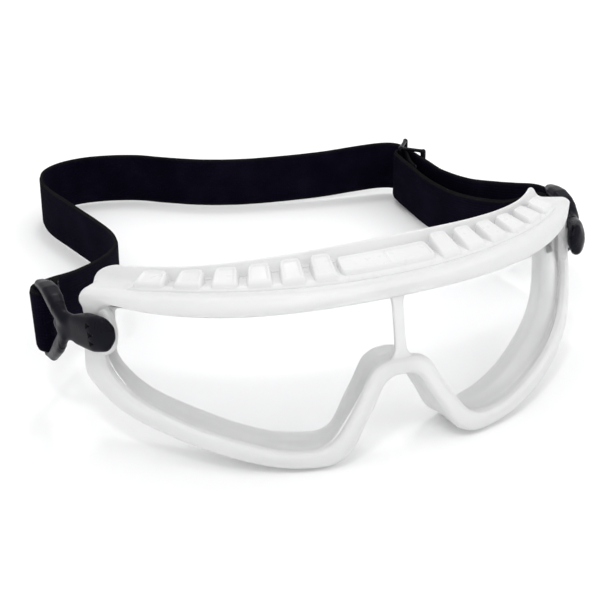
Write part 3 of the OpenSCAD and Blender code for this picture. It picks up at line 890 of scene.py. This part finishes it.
def resample(p, step):
    p = np.asarray(p, float)
    seg = np.linalg.norm(np.diff(p[:, :3], axis=0), axis=1)
    keep = np.concatenate([[True], seg > 1e-6])
    p = p[keep]
    seg = np.linalg.norm(np.diff(p[:, :3], axis=0), axis=1)
    s = np.concatenate([[0], np.cumsum(seg)])
    n = max(int(round(s[-1] / step)), 2)
    t = np.linspace(0, s[-1], n + 1)
    return np.stack([np.interp(t, s, p[:, k]) for k in range(p.shape[1])], 1), t


def relax(p, passes):
    q = p.copy()
    for _ in range(passes):
        q[1:-1] = 0.5 * q[1:-1] + 0.25 * (q[:-2] + q[2:])
    return q


def web(name, path, s0=0.0, step=0.7, free_start=False, free_end=False, passes=6, seed=1):
    p, t = resample(path, step)
    p = relax(p, passes)
    n = len(p)
    g = np.gradient(p[:, :2], axis=0)
    g /= np.linalg.norm(g, axis=1)[:, None]
    w = np.stack([g[:, 1], -g[:, 0]], 1)
    # section across: points along the width on both faces with rounded selvages
    m = 15
    a = np.linspace(-1, 1, m)
    half = BW / 2
    rng = np.random.RandomState(seed)
    rings, uvs = [], []
    wob_top = np.convolve(rng.rand(n + 12), np.ones(5) / 5, "same")[6:6 + n] - 0.5
    wob_bot = np.convolve(rng.rand(n + 12), np.ones(5) / 5, "same")[6:6 + n] - 0.5
    for i in range(n):
        x, y, z, sh = p[i][:4]
        hgt = BW * (1 - sh * (1 - CL))
        lo = np.array([x, y - sh * LEAN_Y / 2, z - hgt])
        hi = np.array([x, y + sh * LEAN_Y / 2, z])
        c = (lo + hi) / 2
        up = (hi - lo) / 2
        nn = np.array([w[i][0], w[i][1], 0.0])
        row, uv = [], []
        stitch = 0.05 * math.sin((s0 + t[i]) * 2 * math.pi / 1.5)
        ends = 1.0
        fin = 1.0
        if free_start and t[i] < 0.8:
            fin = 0.55 + 0.45 * math.sqrt(t[i] / 0.8)
        if free_end and t[-1] - t[i] < 0.8:
            fin = 0.55 + 0.45 * math.sqrt((t[-1] - t[i]) / 0.8)
        for side in (1, -1):
            for k in range(m):
                v = a[k] if side > 0 else -a[k]
                # thickness falls off round the selvage, with a slightly thicker cord just inside it
                e = 1 - abs(v)
                th = BT / 2 * (1 - 0.62 * math.exp(-e / 0.018)) * fin
                th += 0.07 * math.exp(-((e - 0.055) / 0.03) ** 2) * fin
                edge = half * v
                if abs(v) > 0.97:
                    edge += math.copysign(0.0, v)
                rip = (stitch + 0.16 * (wob_top[i] if v > 0 else wob_bot[i])) * max(abs(v) - 0.9, 0) * 10
                pos = c + up * (v * (1 - 0.004)) + nn * side * th
                pos[2] += -abs(rip) * math.copysign(1, v) * 0.5
                row.append(pos)
                uv.append((s0 + t[i], (v + 1) * half + (0 if side > 0 else 0.37)))
        rings.append(row)
        uvs.append(uv)
    A = np.array(rings)
    A[..., 2] = np.maximum(A[..., 2], 0.05)
    U = np.array(uvs)
    mm = A.shape[1]
    f = tube_faces(n, mm, False)
    for k in range(m - 1):
        f.append((k, mm - 1 - k, mm - 2 - k, k + 1))
        b0 = (n - 1) * mm
        f.append((b0 + k, b0 + k + 1, b0 + mm - 2 - k, b0 + mm - 1 - k))
    ob = make(name, table(A).reshape(-1, 3), f, uvs=U.reshape(-1, 2))
    ob.data.materials.append(M_WEB)
    return ob, t[-1]


main_path = np.concatenate([smooth_open(FOLD[::-1], 8), np.array(arc(-1, [20, 40, 60, 80, 100, 120, 140, 160, 172])), smooth_open(ROUTE, 8), np.array(arc(1, [8, 20, 40, 60, 80, 100, 120, 140, 160, 172])),
                            smooth_open(BACK, 8), np.array([[EYE[0] + EYE_R * math.cos(math.radians(a)), EYE[1] + EYE_R * math.sin(math.radians(a)), 22.6, 0] for a in range(170, 0, -12)]),
                            smooth_open(FLAP, 8)])
# one strip of webbing, from its sewn end at the left clip to its sewn end at the slider, cut where the run that
# shortens as the slider travels begins
whole = relax(resample(main_path, 0.7)[0], 5)
cut = int(np.argmin(np.linalg.norm(whole[:, :3] - np.array(BACK[2][:3]), axis=1)))
strap, strap_len = web("elastic_headband", whole[:cut + 1], passes=0, free_start=True)
back_run, back_len = web("elastic_return_run", whole[cut:], s0=strap_len, passes=0, free_end=True, seed=2)
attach(strap, "headband")
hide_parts("headband_strap", "headband_left_end")
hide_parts("headband_return")
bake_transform(back_run)
print("webbing length mm", round(strap_len + back_len, 1))


# ------------------------------------------------------------------ bar tacks
def capsule(c, axis, nrm, length, r, flat=0.75, n=10, k=9):
    ax = np.array(axis, float)
    ax /= np.linalg.norm(ax)
    nn = np.array(nrm, float)
    nn -= ax * nn.dot(ax)
    nn /= np.linalg.norm(nn)
    tt = np.cross(ax, nn)
    rows = []
    for i in range(k):
        v = -1 + 2 * i / (k - 1)
        rad = r * math.sqrt(max(1 - abs(v) ** 3.2, 0.02))
        # ends dip into the webbing
        dip = -0.16 * abs(v) ** 4
        rows.append([np.array(c) + ax * v * length / 2 + nn * (dip + flat * rad * math.sin(2 * math.pi * j / n)) + tt * rad * math.cos(2 * math.pi * j / n) for j in range(n)])
    return np.array(rows)


def tack(name, c, nrm, zc, rows_n, pitch, span, lean_sh, body="headband"):
    """Two zigzag rows of thread across the webbing."""
    h = np.array([nrm[0], nrm[1]], float)
    h /= np.linalg.norm(h)
    along = np.array([-h[1], h[0]])
    verts, faces = [], []
    for r in (-1, 1):
        for k in range(-rows_n, rows_n + 1):
            zz = zc + k * pitch
            yy = k * pitch * lean_sh
            base = np.array([c[0] + h[0] * (BT / 2 + 0.06) + along[0] * r * 1.6, c[1] + h[1] * (BT / 2 + 0.06) + along[1] * r * 1.6 + yy, zz])
            ax = np.array([along[0] * 0.5 * (1 if k % 2 else -1), along[1] * 0.5 * (1 if k % 2 else -1), 1.0])
            ring = capsule(base, ax, (h[0], h[1], 0), pitch * 1.12, 0.24)
            b0 = len(verts)
            verts += [tuple(v) for v in ring.reshape(-1, 3)]
            nr, nc = ring.shape[:2]
            faces += tube_faces(nr, nc, False, True, b0)
            faces.append(tuple(b0 + j for j in range(nc - 1, -1, -1)))
            faces.append(tuple(b0 + (nr - 1) * nc + j for j in range(nc)))
    ob = make(name, table(np.array(verts)), faces)
    ob.data.materials.append(M_THREAD)
    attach(ob, body)
    return ob


t1 = tack("left_bar_tack", (-87.0, 86.35), (0.66, -0.75), 27.6, 9, 0.95, 17, 0.17)
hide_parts("left_end_stitches")
t2 = tack("slider_bar_tack", (81.85, 160.2), (1, 0.05), 12.2, 9, 1.0, 18, 0.0)
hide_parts("return_end_stitches")
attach(t2, "slider")


# ------------------------------------------------------------------ three-bar slider
def build_slider():
    obs = []

    def rod(a, b, r):
        pts = ball_points(a, r, 10) + ball_points(b, r, 10)
        obs.append(hull(pts))

    z0, z1 = 1.15, 23.95
    posts = [(87.9, 178.6), (89.6, 165.6)]
    for q in posts:
        rod((q[0], q[1], z0 + 0.2), (q[0], q[1], z1 - 0.2), 1.12)
    rod((EYE[0], EYE[1], z0 + 0.1), (EYE[0], EYE[1], z1 - 0.1), 1.1)
    for z in (z0, z1 - 0.05):
        rod((posts[0][0], posts[0][1], z), (EYE[0], EYE[1], z), 0.78)
        rod((posts[1][0], posts[1][1], z), (EYE[0], EYE[1], z), 0.78)
    ob = join("slider_moulding", obs)
    md = ob.modifiers.new("remesh", "REMESH")
    md.mode = "VOXEL"
    md.voxel_size = 0.24
    apply_mods(ob)
    soften(ob, 5)
    me = ob.data
    co = np.zeros(len(me.vertices) * 3)
    me.vertices.foreach_get("co", co)
    co = table(co.reshape(-1, 3))
    co[:, 2] = np.maximum(co[:, 2], 0.0001)
    me.vertices.foreach_set("co", co.ravel())
    me.polygons.foreach_set("use_smooth", [True] * len(me.polygons))
    me.materials.append(M_SLIDER)
    return ob


slider = build_slider()
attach(slider, "slider")
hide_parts("adjusting_slider")

# ------------------------------------------------------------------ stage and light
floor_me = bpy.data.meshes.new("floor")
F = 3.0
floor_me.from_pydata([(-F, -F, -0.0004), (F, -F, -0.0004), (F, F, -0.0004), (-F, F, -0.0004)], [], [(0, 1, 2, 3)])
floor = bpy.data.objects.new("floor", floor_me)
coll.objects.link(floor)
fm, fnt, fb = new_mat("pale_floor")
ftc = fnt.nodes.new("ShaderNodeTexCoord")
fn_ = node(fnt, "ShaderNodeTexNoise", Scale=3.0, Detail=2.0)
fnt.links.new(ftc.outputs["Object"], fn_.inputs["Vector"])
fr = ramp(fnt, fn_.outputs["Fac"], [(0.3, (0.945, 0.948, 0.955)), (0.7, (0.955, 0.957, 0.96))])
fnt.links.new(fr.outputs["Color"], fb.inputs["Base Color"])
fb.inputs["Roughness"].default_value = 0.9
fb.inputs["Specular IOR Level"].default_value = 0.1
floor_me.materials.append(fm)

world = bpy.data.worlds.new("studio")
scene.world = world
world.use_nodes = True
bg = world.node_tree.nodes["Background"]
bg.inputs["Color"].default_value = (1.0, 1.0, 1.0, 1)
bg.inputs["Strength"].default_value = 1.0


def area(name, loc, target, size, power, sy=None):
    ld = bpy.data.lights.new(name, "AREA")
    ld.shape = "RECTANGLE" if sy else "SQUARE"
    ld.size = size
    if sy:
        ld.size_y = sy
    ld.energy = power
    o = bpy.data.objects.new(name, ld)
    coll.objects.link(o)
    o.location = loc
    o.rotation_euler = (Vector(target) - Vector(loc)).to_track_quat("-Z", "Y").to_euler()
    return o


area("key", (-0.27, -0.39, 0.76), (0, -0.04, 0.03), 0.1, 0.8)
area("glint", (0.10, 0.32, 0.74), (-0.08, -0.04, 0.05), 0.14, 0.8)
area("fill", (0.75, -0.6, 0.6), (0, -0.04, 0.03), 0.6, 1.5)
area("top", (0.1, 0.2, 0.9), (0, 0, 0.02), 0.7, 0.3)

scene.view_settings.view_transform = "Standard"
scene.view_settings.look = "None"

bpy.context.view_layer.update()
